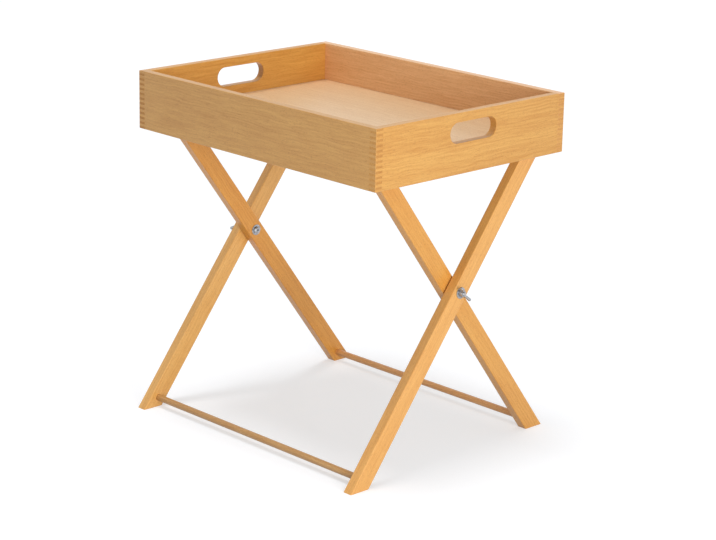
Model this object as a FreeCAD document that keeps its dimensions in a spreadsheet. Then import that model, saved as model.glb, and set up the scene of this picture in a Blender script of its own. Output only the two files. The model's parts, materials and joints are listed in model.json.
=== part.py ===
import FreeCAD, Part
import os
import re

import Sketcher

# Butler's tray table: a finger-jointed tray that lifts off a folding stand of two crossed frames.
# X runs along the tray, Y from the front to the back and Z up. The origin is on the ground, in the middle.
# The outer frame has its feet in front, the inner frame has its feet behind, and they turn on two bolts.

# Driving sizes in millimetres, angles in degrees, counts and shares
SIZES = {
    # Whole table, from the ground to the rim of the tray
    "overall_height": 620.0,
    # Tray walls
    "tray_length": 600.0,
    "tray_width": 450.0,
    "wall_height": 104.0,
    "wall_thick": 15.0,
    "finger_pairs": 12,
    # Handle slot in each end wall, its middle measured down from the rim
    "slot_length": 110.0,
    "slot_height": 35.0,
    "slot_drop": 33.5,
    # Tray floor, from the rim down to its upper face, and the groove that holds it
    "rim_depth": 69.0,
    "floor_thick": 6.0,
    "groove_depth": 6.0,
    "groove_play": 0.2,
    "edge_play": 0.5,
    # Legs, and the room between the stand and the skirt of the tray
    "leg_width": 33.0,
    "leg_thick": 19.0,
    "leg_lean": 37.0,
    "leg_ease": 1.0,
    "skirt_play_length": 3.0,
    "skirt_play_width": 6.0,
    # Round rod near the feet of each frame
    "rod_diameter": 12.0,
    "rod_height": 17.0,
    "rod_seat": 12.0,
    # Flat rail between the leg tops of each frame, with two many-sided dowel pins at each end
    "rail_height": 25.0,
    "rail_thick": 20.0,
    "pin_corners": 16,
    "pin_diameter": 6.0,
    "pin_length": 24.0,
    "pin_spacing": 12.0,
    # Glue line round the rods and pins, and the spare depth of their blind holes
    "glue_line": 0.1,
    "hole_spare": 0.5,
    # Pivot bolt with a bevelled socket head, and its running fit in the legs and the wing nut
    "bolt_diameter": 6.0,
    "bolt_play": 0.05,
    "bolt_tail": 2.5,
    "bolt_tip": 0.8,
    "head_diameter": 13.0,
    "head_top_diameter": 8.0,
    "head_height": 4.0,
    "head_rim": 1.6,
    "socket_width": 4.0,
    "socket_depth": 2.2,
    # Washers under the head and the nut, and the spacer between the legs
    "washer_diameter": 20.0,
    "washer_thick": 1.6,
    "washer_play": 0.2,
    "spacer_diameter": 22.0,
    "spacer_thick": 3.0,
    # Wing nut: a round hub and two ears that lean away from the leg
    "hub_diameter": 12.0,
    "hub_height": 7.0,
    "ear_span": 36.0,
    "ear_rise": 14.0,
    "ear_foot": 1.2,
    "ear_tip_radius": 4.8,
    "ear_thick": 3.0,
    "ear_turn_right": 41.0,
    "ear_turn_left": 112.0,
    # How far a cut runs past the edge that it opens
    "overrun": 2.0,
}

# Sizes that follow from the driving ones
DERIVED = {
    "skirt_bottom": "overall_height - wall_height",
    "finger_height": "wall_height / (2 * finger_pairs)",
    "inside_length": "tray_length - 2 * wall_thick",
    "inside_width": "tray_width - 2 * wall_thick",
    "leg_top": "overall_height - rim_depth - floor_thick",
    "groove_base": "leg_top - skirt_bottom",
    # A leg is cut level at both ends, so each cut is longer than the leg is wide
    "leg_cut": "leg_width / cos(leg_lean)",
    "top_reach": "inside_width / 2 - skirt_play_width",
    "foot_reach": "leg_top * tan(leg_lean) + leg_cut - top_reach",
    "pivot_height": "(foot_reach - leg_cut / 2) / tan(leg_lean)",
    "rod_reach": "foot_reach - leg_cut / 2 - rod_height * tan(leg_lean)",
    "rail_middle": "leg_top - rail_height / 2",
    "rail_reach": "top_reach - leg_cut / 2 - rail_height / 2 * tan(leg_lean)",
    # Half widths of the two frames, to the outer and the inner face of their legs
    "outer_face": "inside_length / 2 - skirt_play_length",
    "outer_inside": "outer_face - leg_thick",
    "inner_face": "outer_inside - spacer_thick",
    "inner_inside": "inner_face - leg_thick",
    "head_seat": "inner_inside - washer_thick",
    "nut_seat": "outer_face + washer_thick",
    "bolt_length": "nut_seat + hub_height + bolt_tail - head_seat",
    "bolt_bore": "bolt_diameter + 2 * bolt_play",
    "washer_bore": "bolt_diameter + 2 * washer_play",
    "ear_root": "(bolt_bore + hub_diameter) / 4",
}

# The origin as a point of a sketch, and the ends and centre of a sketch line or arc
ORIGIN = (-1, 1)
START, END, CENTRE = range(1, 4)

HEXAGON_CORNERS = 6
SIDES = {"left": -1, "right": 1}
SIZE_NAME = re.compile(r"[a-z]\w*")

doc = FreeCAD.newDocument("butlers_tray_table")
sheet = doc.addObject("Spreadsheet::Sheet", "Sizes")


def fill_sheet():
    """Write each driving size into the sheet, with its name as the cell's alias."""
    for row, (name, size) in enumerate(SIZES.items(), start=1):
        sheet.set(f"A{row}", name)
        sheet.set(f"B{row}", str(size))
        sheet.setAlias(f"B{row}", name)
    doc.recompute()


def formula(text):
    """Turn a sum of size names into an expression on the sheet's cells."""
    def cell(match):
        name = match.group()
        if name in DERIVED:
            return f"({formula(DERIVED[name])})"
        if name in SIZES:
            return f"Sizes.{name}"
        return name
    return SIZE_NAME.sub(cell, text)


def value(text):
    """Work out a sum of size names as a number."""
    return float(sheet.evalExpression(formula(text)))


def bind(item, prop, text):
    """Tie one property of an object to the sheet."""
    item.setExpression(prop, formula(text))


def new_body(label):
    """Start a piece that is built from sketches."""
    body = doc.addObject("PartDesign::Body", label)
    body.Label = label
    return body


def origin_item(body, role):
    """Find one of a body's own planes or axes."""
    return next(item for item in body.Origin.OriginFeatures if item.Role == role)


def new_sketch(body, name, role, lift="0"):
    """Start a sketch on one of a body's planes, lifted along the plane's normal."""
    sketch = body.newObject("Sketcher::SketchObject", name)
    sketch.AttachmentSupport = [(origin_item(body, role), "")]
    sketch.MapMode = "FlatFace"
    bind(sketch, "AttachmentOffset.Base.z", lift)
    return sketch


def dimension(sketch, kind, places, text):
    """Add a dimension to a sketch and tie it to the sheet."""
    index = sketch.addConstraint(Sketcher.Constraint(kind, *places, value(text)))
    bind(sketch, f"Constraints[{index}]", text)


def pin_point(sketch, index, spot, across, up):
    """Hold one point of a sketch by its two distances from the origin."""
    dimension(sketch, "DistanceX", (*ORIGIN, index, spot), across)
    dimension(sketch, "DistanceY", (*ORIGIN, index, spot), up)


def point(across, up):
    """Give a sketch point as a vector."""
    return FreeCAD.Vector(value(across), value(up), 0)


def join(sketch, kind, first, second):
    """Tie the end of one line or arc to the start of the next."""
    sketch.addConstraint(Sketcher.Constraint(kind, first, END, second, START))


def draw_outline(sketch, corners):
    """Draw a closed outline of straight lines through corners given as sums of size names."""
    first = sketch.GeometryCount
    count = len(corners)
    ends = [point(*corner) for corner in corners]
    for number in range(count):
        sketch.addGeometry(Part.LineSegment(ends[number], ends[(number + 1) % count]))
    for number, corner in enumerate(corners):
        join(sketch, "Coincident", first + number, first + (number + 1) % count)
        pin_point(sketch, first + number, START, *corner)


def draw_rectangle(sketch, left, right, low, high):
    """Draw a rectangle between two widths and two heights."""
    draw_outline(sketch, [(left, low), (right, low), (right, high), (left, high)])


def draw_circle(sketch, across, up, diameter):
    """Draw a circle round a point."""
    circle = Part.Circle(point(across, up), FreeCAD.Vector(0, 0, 1), value(diameter) / 2)
    index = sketch.addGeometry(circle)
    pin_point(sketch, index, CENTRE, across, up)
    dimension(sketch, "Diameter", (index,), diameter)


def draw_arc(sketch, middle, start, end):
    """Draw an arc round a middle, from a start to an end, turning left."""
    radius = middle.distanceToPoint(start)
    circle = Part.Circle(middle, FreeCAD.Vector(0, 0, 1), radius)
    return sketch.addGeometry(Part.ArcOfCircle(circle, circle.parameter(start), circle.parameter(end)))


def draw_stadium(sketch, up, length, height):
    """Draw a slot with round ends, centred on the width of the sketch."""
    reach = f"({length} - {height}) / 2"
    low = f"{up} - {height} / 2"
    high = f"{up} + {height} / 2"
    back = f"-({reach})"
    lower = sketch.addGeometry(Part.LineSegment(point(back, low), point(reach, low)))
    right = draw_arc(sketch, point(reach, up), point(reach, low), point(reach, high))
    upper = sketch.addGeometry(Part.LineSegment(point(reach, high), point(back, high)))
    left = draw_arc(sketch, point(back, up), point(back, high), point(back, low))
    ring = [lower, right, upper, left, lower]
    for first, second in zip(ring, ring[1:]):
        join(sketch, "Tangent", first, second)
    pin_point(sketch, right, CENTRE, reach, up)
    pin_point(sketch, left, CENTRE, back, up)
    sketch.addConstraint(Sketcher.Constraint("Equal", right, left))
    dimension(sketch, "Diameter", (right,), height)


def pad(body, sketch, name, length, along=1):
    """Thicken a sketch along its normal (1), against it (-1) or both ways (0)."""
    feature = body.newObject("PartDesign::Pad", name)
    feature.Profile = sketch
    bind(feature, "Length", length)
    feature.Reversed = along < 0
    if along == 0:
        feature.SideType = "Symmetric"
    doc.recompute()
    return feature


def pocket(body, sketch, name, along, depth=None):
    """Cut a sketch out of a body along its normal (1) or against it (-1), to a depth or right through."""
    before = body.Shape.Volume
    feature = body.newObject("PartDesign::Pocket", name)
    feature.Profile = sketch
    feature.Reversed = along > 0
    if depth is None:
        feature.Type = "ThroughAll"
    else:
        bind(feature, "Length", depth)
    doc.recompute()
    if body.Shape.Volume >= before:
        raise ValueError(f"{body.Label}: {name} cuts nothing")
    return feature


def mirror(body, feature, name, role):
    """Repeat a feature on the other side of one of the body's planes."""
    copy = body.newObject("PartDesign::Mirrored", name)
    copy.Originals = [feature]
    copy.MirrorPlane = (origin_item(body, role), [""])
    body.Tip = copy
    doc.recompute()


def stack(body, feature, name, pitch, count):
    """Repeat a feature upwards at an even pitch."""
    pattern = body.newObject("PartDesign::LinearPattern", name)
    pattern.Originals = [feature]
    pattern.Direction = (origin_item(body, "Z_Axis"), [""])
    bind(pattern, "Length", f"({pitch}) * ({count} - 1)")
    bind(pattern, "Occurrences", count)
    body.Tip = pattern
    doc.recompute()


def revolve(body, sketch, name):
    """Turn a half section round the width axis of its sketch."""
    feature = body.newObject("PartDesign::Revolution", name)
    feature.Profile = sketch
    feature.ReferenceAxis = (sketch, ["H_Axis"])
    doc.recompute()
    return feature


def make_wall(label, role, inward, length, first_socket):
    """Make a tray wall with finger sockets at both ends and a stopped groove for the floor.

    The outer face lies on the plane, and inward says which way along its normal the board is.
    """
    body = new_body(label)
    board = new_sketch(body, "board_outline", role)
    draw_rectangle(board, f"-{length} / 2", f"{length} / 2", "0", "wall_height")
    pad(body, board, "board", "wall_thick", inward)

    sockets = new_sketch(body, "socket_outline", role)
    low = f"{first_socket} * finger_height"
    high = f"({first_socket} + 1) * finger_height"
    inner = f"{length} / 2 - wall_thick"
    outer = f"{length} / 2 + overrun"
    draw_rectangle(sockets, inner, outer, low, high)
    draw_rectangle(sockets, f"-({outer})", f"-({inner})", low, high)
    socket = pocket(body, sockets, "finger_socket", inward)
    stack(body, socket, "finger_sockets", "2 * finger_height", "finger_pairs")

    groove = new_sketch(body, "groove_outline", role, f"{inward} * wall_thick")
    groove_top = "groove_base + floor_thick + groove_play"
    draw_rectangle(groove, f"-({inner})", inner, "groove_base", groove_top)
    pocket(body, groove, "floor_groove", -inward, "groove_depth")
    bind(body, "Placement.Base.z", "skirt_bottom")
    return body


def make_long_wall(label, side):
    """Make the front (-1) or back (1) wall, which has the topmost finger at each corner."""
    body = make_wall(label, "XZ_Plane", side, "tray_length", 0)
    bind(body, "Placement.Base.y", f"{side} * tray_width / 2")
    return body


def make_end_wall(label, side):
    """Make the left (-1) or right (1) wall, which has the lowest finger and the handle slot."""
    body = make_wall(label, "YZ_Plane", -side, "tray_width", 1)
    slot = new_sketch(body, "slot_outline", "YZ_Plane")
    draw_stadium(slot, "(wall_height - slot_drop)", "slot_length", "slot_height")
    pocket(body, slot, "handle_slot", -side)
    bind(body, "Placement.Base.x", f"{side} * tray_length / 2")
    return body


def make_floor(label):
    """Make the floor panel, whose four tongues stop short of the finger joints."""
    body = new_body(label)
    outline = new_sketch(body, "floor_outline", "XY_Plane")
    shoulder_x = "(inside_length / 2 - edge_play)"
    shoulder_y = "(inside_width / 2 - edge_play)"
    tongue_x = "(inside_length / 2 + groove_depth - edge_play)"
    tongue_y = "(inside_width / 2 + groove_depth - edge_play)"
    quarter = [(tongue_x, shoulder_y), (shoulder_x, shoulder_y), (shoulder_x, tongue_y)]
    half = quarter + [(f"-{across}", up) for across, up in reversed(quarter)]
    draw_outline(outline, half + [(across, f"-{up}") for across, up in reversed(half)])
    pad(body, outline, "panel", "floor_thick")
    bind(body, "Placement.Base.z", "leg_top")
    return body


def ease_leg_edges(body, board):
    """Plane a small flat on the four long edges of a leg."""
    long_edges = [f"Edge{number}" for number, edge in enumerate(board.Shape.Edges, start=1)
                  if edge.Length > value("leg_top")]
    flats = body.newObject("PartDesign::Chamfer", "eased_edges")
    flats.Base = (board, long_edges)
    bind(flats, "Size", "leg_ease")
    doc.recompute()


def make_leg(label, side, lean, inner_face):
    """Make a leg that leans back (1) or forward (-1), with its inner face on the sketch plane."""
    body = new_body(label)
    outline = new_sketch(body, "leg_outline", "YZ_Plane")
    draw_outline(outline, [
        (f"-{lean} * foot_reach", "0"),
        (f"{lean} * (leg_cut - foot_reach)", "0"),
        (f"{lean} * top_reach", "leg_top"),
        (f"{lean} * (top_reach - leg_cut)", "leg_top"),
    ])
    board = pad(body, outline, "board", "leg_thick", side)
    ease_leg_edges(body, board)

    bore = new_sketch(body, "bore_outline", "YZ_Plane")
    draw_circle(bore, "0", "pivot_height", "bolt_bore")
    pocket(body, bore, "pivot_bore", side)

    seat = new_sketch(body, "rod_seat_outline", "YZ_Plane")
    draw_circle(seat, f"-{lean} * rod_reach", "rod_height", "rod_diameter + 2 * glue_line")
    pocket(body, seat, "rod_hole", side, "rod_seat + hole_spare")

    pins = new_sketch(body, "pin_hole_outline", "YZ_Plane")
    draw_pin_holes(pins, f"{lean} * rail_reach")
    pocket(body, pins, "pin_holes", side, "pin_length / 2 + hole_spare")
    bind(body, "Placement.Base.x", f"{side} * {inner_face}")
    return body


def draw_pin_holes(sketch, across):
    """Draw the two dowel holes, one over the other, in the middle of a rail's end."""
    for step in (-1, 1):
        draw_circle(sketch, across, f"rail_middle + {step} * pin_spacing / 2", "pin_diameter + 2 * glue_line")


def make_rod(label, lean, inner_face):
    """Make the round rod that ties the feet of a frame together."""
    body = new_body(label)
    section = new_sketch(body, "rod_section", "YZ_Plane")
    draw_circle(section, "0", "0", "rod_diameter")
    pad(body, section, "rod", f"2 * ({inner_face} + rod_seat)", 0)
    bind(body, "Placement.Base.y", f"-{lean} * rod_reach")
    bind(body, "Placement.Base.z", "rod_height")
    return body


def make_rail(label, lean, inner_face):
    """Make the flat rail between the leg tops of a frame, with dowel holes in both ends."""
    body = new_body(label)
    section = new_sketch(body, "rail_section", "YZ_Plane")
    near = f"{lean} * rail_reach - rail_thick / 2"
    far = f"{lean} * rail_reach + rail_thick / 2"
    draw_rectangle(section, near, far, "leg_top - rail_height", "leg_top")
    pad(body, section, "rail", f"2 * ({inner_face})", 0)
    holes = new_sketch(body, "pin_hole_outline", "YZ_Plane", inner_face)
    draw_pin_holes(holes, f"{lean} * rail_reach")
    cut = pocket(body, holes, "pin_holes", -1, "pin_length / 2 + hole_spare")
    mirror(body, cut, "pin_holes_far_end", "YZ_Plane")
    return body


def make_pins(label, lean, inner_face):
    """Make the four dowel pins of a rail, half in the rail and half in a leg."""
    group = doc.addObject("Part::Compound", label)
    group.Label = label
    pins = []
    for side in SIDES.values():
        for step in (-1, 1):
            pin = doc.addObject("Part::Prism", f"{label}_pin")
            bind(pin, "Polygon", "pin_corners")
            bind(pin, "Circumradius", "pin_diameter / 2")
            bind(pin, "Height", "pin_length")
            pin.Placement.Rotation = FreeCAD.Rotation(FreeCAD.Vector(0, 1, 0), 90)
            bind(pin, "Placement.Base.x", f"{side} * {inner_face} - pin_length / 2")
            bind(pin, "Placement.Base.y", f"{lean} * rail_reach")
            bind(pin, "Placement.Base.z", f"rail_middle + {step} * pin_spacing / 2")
            pins.append(pin)
    group.Links = pins
    doc.recompute()
    return group


def make_frame(name, lean, inner_face):
    """Make the wooden pieces of one frame; lean is 1 where the tops are behind and -1 where in front."""
    pieces = [make_leg(f"{name}_leg_{word}", side, lean, inner_face) for word, side in SIDES.items()]
    pieces.append(make_rail(f"{name}_top_rail", lean, inner_face))
    pieces.append(make_rod(f"{name}_bottom_rod", lean, inner_face))
    pieces.append(make_pins(f"{name}_rail_pins", lean, inner_face))
    return pieces


def set_on_pivot(body, side, distance):
    """Put a piece of hardware on the pivot axis, at a distance from the middle of the table."""
    bind(body, "Placement.Base.x", f"{side} * ({distance})")
    bind(body, "Placement.Base.z", "pivot_height")


def make_washer(label, side, distance, diameter, thick):
    """Make a flat ring on the pivot axis, thickened outwards from a distance."""
    body = new_body(label)
    ring = new_sketch(body, "ring", "YZ_Plane")
    draw_circle(ring, "0", "0", diameter)
    draw_circle(ring, "0", "0", "washer_bore")
    pad(body, ring, "washer", thick, side)
    set_on_pivot(body, side, distance)
    return body


def make_bolt(label, side):
    """Make the pivot bolt: a bevelled head towards the middle of the table and a plain shank outwards."""
    body = new_body(label)
    half = new_sketch(body, "half_section", "XY_Plane")
    draw_outline(half, [
        (f"-{side} * head_height", "0"),
        (f"-{side} * head_height", "head_top_diameter / 2"),
        (f"-{side} * head_rim", "head_diameter / 2"),
        ("0", "head_diameter / 2"),
        ("0", "bolt_diameter / 2"),
        (f"{side} * (bolt_length - bolt_tip)", "bolt_diameter / 2"),
        (f"{side} * bolt_length", "bolt_diameter / 2 - bolt_tip"),
        (f"{side} * bolt_length", "0"),
    ])
    revolve(body, half, "turned_bolt")

    socket = new_sketch(body, "socket_outline", "YZ_Plane", f"-{side} * head_height")
    turns = [f"360 * {number} / {HEXAGON_CORNERS}" for number in range(HEXAGON_CORNERS)]
    corner_reach = "socket_width / sqrt(3)"
    draw_outline(socket, [(f"{corner_reach} * cos({turn})", f"{corner_reach} * sin({turn})") for turn in turns])
    pocket(body, socket, "hex_socket", side, "socket_depth")
    set_on_pivot(body, side, "head_seat")
    return body


def make_wing_nut(label, side, turn):
    """Make a wing nut: a round hub with a bore, and two ears that lean outwards."""
    body = new_body(label)
    ring = new_sketch(body, "hub_ring", "YZ_Plane")
    draw_circle(ring, "0", "0", "hub_diameter")
    draw_circle(ring, "0", "0", "bolt_bore")
    pad(body, ring, "hub", "hub_height", side)

    ear = new_sketch(body, "ear_outline", "XZ_Plane")
    draw_ear(ear, side)
    wing = pad(body, ear, "ear", "ear_thick", 0)
    mirror(body, wing, "ear_far_side", "XY_Plane")
    body.Placement.Rotation = FreeCAD.Rotation(FreeCAD.Vector(1, 0, 0), value(turn))
    set_on_pivot(body, side, "nut_seat")
    bind(body, "Placement.Rotation.Angle", turn)
    return body


def draw_ear(sketch, side):
    """Draw one ear, a tongue from inside the hub to a round tip."""
    foot = ("ear_foot", "ear_root")
    top = ("hub_height", "ear_root")
    tip = ("ear_rise - ear_tip_radius", "ear_span / 2 - ear_tip_radius")
    low, high = [point(f"{side} * ({across})", up) for across, up in (foot, top)]
    middle = point(f"{side} * ({tip[0]})", tip[1])
    low_touch = tangent_point(low, middle, side)
    high_touch = tangent_point(high, middle, -side)
    root = sketch.addGeometry(Part.LineSegment(high, low))
    lower = sketch.addGeometry(Part.LineSegment(low, low_touch))
    ends = (low_touch, high_touch) if side < 0 else (high_touch, low_touch)
    arc = draw_arc(sketch, middle, *ends)
    upper = sketch.addGeometry(Part.LineSegment(high_touch, high))
    arc_low = START if side < 0 else END
    arc_high = END if side < 0 else START
    join(sketch, "Coincident", root, lower)
    sketch.addConstraint(Sketcher.Constraint("Tangent", lower, END, arc, arc_low))
    sketch.addConstraint(Sketcher.Constraint("Tangent", arc, arc_high, upper, START))
    join(sketch, "Coincident", upper, root)
    pin_point(sketch, root, START, f"{side} * ({top[0]})", top[1])
    pin_point(sketch, root, END, f"{side} * ({foot[0]})", foot[1])
    pin_point(sketch, arc, CENTRE, f"{side} * ({tip[0]})", tip[1])
    dimension(sketch, "Radius", (arc,), "ear_tip_radius")


def tangent_point(start, middle, turn):
    """Find where a line from a point touches the ear's round tip, on its left (1) or right (-1)."""
    radius = value("ear_tip_radius")
    way = middle - start
    reach = way.Length
    along = way * (1 - (radius / reach) ** 2)
    across = FreeCAD.Vector(-way.y, way.x, 0) * (radius * (reach ** 2 - radius ** 2) ** 0.5 / reach ** 2)
    return start + along + across * turn


def make_pivot(word, side):
    """Make the bolt, washers and wing nut of one side."""
    return [
        make_bolt(f"pivot_bolt_{word}", side),
        make_washer(f"head_washer_{word}", side, "head_seat", "washer_diameter", "washer_thick"),
        make_washer(f"spacer_washer_{word}", side, "inner_face", "spacer_diameter", "spacer_thick"),
        make_washer(f"nut_washer_{word}", side, "outer_face", "washer_diameter", "washer_thick"),
        make_wing_nut(f"wing_nut_{word}", side, f"ear_turn_{word}"),
    ]


def check_document(pieces):
    """Stop if any object failed or any piece has no sound solid."""
    doc.recompute()
    for item in doc.Objects:
        if "Invalid" in item.State or "Error" in item.State:
            raise RuntimeError(f"{item.Label} failed: {item.State}")
    for piece in pieces:
        if piece.Shape.isNull() or not piece.Shape.isValid() or not piece.Shape.Solids:
            raise RuntimeError(f"{piece.Label} has no sound solid")


def write_pieces(pieces):
    """Write each piece to a file that has its name."""
    os.makedirs("parts", exist_ok=True)
    for piece in pieces:
        piece.Shape.exportStep(f"parts/{piece.Label}.step")
        print(piece.Label, "solids", len(piece.Shape.Solids), "volume", round(piece.Shape.Volume))


def main():
    fill_sheet()
    pieces = [
        make_long_wall("tray_front_wall", -1),
        make_long_wall("tray_back_wall", 1),
        make_end_wall("tray_left_end", -1),
        make_end_wall("tray_right_end", 1),
        make_floor("tray_floor"),
    ]
    pieces += make_frame("outer", 1, "outer_inside")
    pieces += make_frame("inner", -1, "inner_inside")
    for word, side in SIDES.items():
        pieces += make_pivot(word, side)
    check_document(pieces)
    write_pieces(pieces)
    for name in ("foot_reach", "pivot_height", "rod_reach", "rail_reach", "leg_top", "bolt_length"):
        print(name, round(value(name), 3))


main()
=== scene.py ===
# %% [markdown]
# # A butler's tray table
# The real object is a beech tray with finger-jointed corners, which lifts off a folding stand of two
# crossed frames. Its solids are already drawn, in metres, with the origin on the ground under the middle.
# Here they are dressed. The camera comes first. Then boards with eased edges, turned rods, threaded bolts
# and cast wing nuts are modelled where the solids are, each with its finish, and the light comes last.

# %% Load the solids
import json
import math

import bmesh
import bpy
from mathutils import Matrix, Vector


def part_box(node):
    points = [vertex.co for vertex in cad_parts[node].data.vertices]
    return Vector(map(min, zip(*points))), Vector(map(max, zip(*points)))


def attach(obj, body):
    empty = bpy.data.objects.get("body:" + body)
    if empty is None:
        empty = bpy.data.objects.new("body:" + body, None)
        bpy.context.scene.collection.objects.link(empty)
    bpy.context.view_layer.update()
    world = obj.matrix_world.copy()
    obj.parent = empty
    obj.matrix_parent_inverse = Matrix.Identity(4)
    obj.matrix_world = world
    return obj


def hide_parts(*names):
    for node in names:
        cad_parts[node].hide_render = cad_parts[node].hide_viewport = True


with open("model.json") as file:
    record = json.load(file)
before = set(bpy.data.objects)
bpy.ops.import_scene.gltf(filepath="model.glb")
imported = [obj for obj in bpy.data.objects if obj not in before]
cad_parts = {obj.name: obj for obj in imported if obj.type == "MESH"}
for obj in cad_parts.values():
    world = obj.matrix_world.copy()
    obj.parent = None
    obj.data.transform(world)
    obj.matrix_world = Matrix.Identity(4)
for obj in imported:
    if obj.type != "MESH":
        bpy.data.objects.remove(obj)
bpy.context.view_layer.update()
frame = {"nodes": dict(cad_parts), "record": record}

# %% [markdown]
# ## The camera
# A photograph of a table is taken from some way off with a long lens, so that its parallel edges stay
# nearly parallel. A camera can be aimed with a Track To constraint, but that can't lean it sideways.
# Here its three axes are written down, so the small lean of a camera held by hand is kept.

# %% Set up the camera
IMAGE_WIDTH = 716
SENSOR_WIDTH = 36
FOCAL_PIXELS = 2249.4
CAMERA_PLACE = (2.77096, -2.65673, 1.40684)
CAMERA_AHEAD = Vector((-0.68864, 0.66804, -0.28195))
CAMERA_SIDE = Vector((0.69203, 0.7216, 0.01949))
ahead = CAMERA_AHEAD.normalized()
upward = CAMERA_SIDE.cross(ahead).normalized()
sideways = ahead.cross(upward)

camera = bpy.data.objects.new("camera", bpy.data.cameras.new("camera"))
camera.data.sensor_width = SENSOR_WIDTH
camera.data.lens = FOCAL_PIXELS * SENSOR_WIDTH / IMAGE_WIDTH
camera.matrix_world = Matrix((sideways, upward, -ahead)).transposed().to_4x4()
camera.location = CAMERA_PLACE
bpy.context.scene.collection.objects.link(camera)
bpy.context.scene.camera = camera
print("lens:", round(camera.data.lens, 1), "mm")

# %% [markdown]
# ## Helpers for modelling
# Blender's tools act on all that is selected, so every step starts by putting everything down.
# Faces and edges are then picked by a test on their place or direction, as a hand would click on them.

# %% Put down, take up and pick
MILLIMETRE = 0.001
NEAR = 0.01 * MILLIMETRE
# A face looks a given way if its normal, which has length 1, goes at least this far that way
SQUARE_ON = 0.9


def put_down():
    """Leave edit mode and deselect everything."""
    if bpy.context.object and bpy.context.object.mode != "OBJECT":
        bpy.ops.object.mode_set(mode="OBJECT")
    bpy.ops.object.select_all(action="DESELECT")


def take_up(piece):
    """Make a piece the one that the next tool works on."""
    put_down()
    piece.select_set(True)
    bpy.context.view_layer.objects.active = piece


def edit(piece, kind):
    """Open a piece for editing by its faces, edges or corners."""
    take_up(piece)
    bpy.ops.object.mode_set(mode="EDIT")
    bpy.ops.mesh.select_mode(type=kind)


def pick(piece, kind, test):
    """Select the faces, edges or verts that pass a test, and count them."""
    bpy.ops.mesh.select_all(action="DESELECT")
    mesh = bmesh.from_edit_mesh(piece.data)
    mesh.normal_update()
    chosen = [item for item in getattr(mesh, kind) if test(item)]
    for item in chosen:
        item.select_set(True)
    bmesh.update_edit_mesh(piece.data)
    return len(chosen)


# %% Tests for edges, and rounding
FINE_STEPS = 2
ROUND_STEPS = 4


def is_level(edge, axis, place):
    """True if both ends of an edge have this place along an axis."""
    return all(abs(vert.co[axis] - place) < NEAR for vert in edge.verts)


def at_ends(edge, axis, low, high):
    """True if an edge lies in either end of a box along an axis."""
    return is_level(edge, axis, low[axis]) or is_level(edge, axis, high[axis])


def round_edges(piece, test, width, steps, slide=True):
    """Bevel the edges that pass a test, and count them."""
    bpy.ops.mesh.select_mode(type="EDGE")
    count = pick(piece, "edges", test)
    bpy.ops.mesh.bevel(offset=width, segments=steps, affect="EDGES", loop_slide=slide)
    return count


# %% Blocks and bars to start from
def settle(piece, name):
    """Name a new piece, and put its place and size into its mesh."""
    piece.name = name
    piece.data.name = name
    bpy.ops.object.transform_apply(location=True, rotation=True, scale=True)
    return piece


def block(name, low, high):
    """Start from a cube that fills a box."""
    put_down()
    bpy.ops.mesh.primitive_cube_add(size=1, location=(low + high) / 2, scale=high - low)
    return settle(bpy.context.object, name)


def bar(name, low, high, sides):
    """Start from a round bar along X that fills a box."""
    put_down()
    bpy.ops.mesh.primitive_cylinder_add(
        vertices=sides, radius=(high.z - low.z) / 2, depth=high.x - low.x,
        location=(low + high) / 2, rotation=(0, math.pi / 2, 0))
    return settle(bpy.context.object, name)


# %% Modifiers, cuts and copies
DRILL_SIDES = 48
DRILL_OVERSHOOT = 15 * MILLIMETRE


def apply_modifier(piece, kind, **settings):
    """Add a modifier with some settings and apply it."""
    take_up(piece)
    modifier = piece.modifiers.new(kind.lower(), kind)
    for setting, value in settings.items():
        setattr(modifier, setting, value)
    bpy.ops.object.modifier_apply(modifier=modifier.name)


def cut(piece, tool):
    """Take a tool's shape out of a piece, and throw the tool away."""
    apply_modifier(piece, "BOOLEAN", object=tool, operation="DIFFERENCE", solver="EXACT")
    bpy.data.objects.remove(tool)


def drill(piece, start, end, spot, radius):
    """Drill a round hole along X, from start to end, in line with a spot."""
    low = Vector((start, spot.y - radius, spot.z - radius))
    high = Vector((end, spot.y + radius, spot.z + radius))
    cut(piece, bar("drill", low, high, DRILL_SIDES))


def copy_of(piece, name, scale=(1, 1, 1), move=(0, 0, 0), turn=(0, 0, 0)):
    """Copy a piece with its own mesh, mirrored, turned or moved, and point its faces outwards."""
    take_up(piece)
    bpy.ops.object.duplicate(linked=False)
    copy = bpy.context.object
    copy.scale = scale
    copy.location = move
    copy.rotation_euler = turn
    settle(copy, name)
    edit(copy, "FACE")
    bpy.ops.mesh.select_all(action="SELECT")
    bpy.ops.mesh.normals_make_consistent(inside=False)
    put_down()
    return copy


# %% [markdown]
# ## Finishes: a group for beech
# Beech is a pale, even wood. Close to, it has soft bands of tone, fine growth lines, and many short dark
# flecks along the grain. An image of a board would repeat and would have no end grain. Here the wood is
# a solid pattern in space, drawn out along the grain, so a cut across a board shows its end grain by itself.
# A tree never grows quite straight, so a slow noise first nudges every place sideways, and the lines wander.
# The group wants a place with X along the grain. Every board then puts in its own place and colours.

# %% Helpers for nodes and groups
def add_node(tree, kind, inputs, **settings):
    """Add a node, set its options, and link or set its inputs."""
    made = tree.nodes.new(kind)
    for setting, value in settings.items():
        setattr(made, setting, value)
    for socket, content in inputs.items():
        if isinstance(content, bpy.types.NodeSocket):
            tree.links.new(content, made.inputs[socket])
        else:
            made.inputs[socket].default_value = content
    return made


def new_group(name, inputs, outputs):
    """Start a node group with named sockets; give its tree, its input node and its output node."""
    tree = bpy.data.node_groups.new(name, "ShaderNodeTree")
    for in_out, sockets in (("INPUT", inputs), ("OUTPUT", outputs)):
        for socket, kind in sockets.items():
            tree.interface.new_socket(socket, in_out=in_out, socket_type=kind)
    return tree, tree.nodes.new("NodeGroupInput"), tree.nodes.new("NodeGroupOutput")


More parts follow.
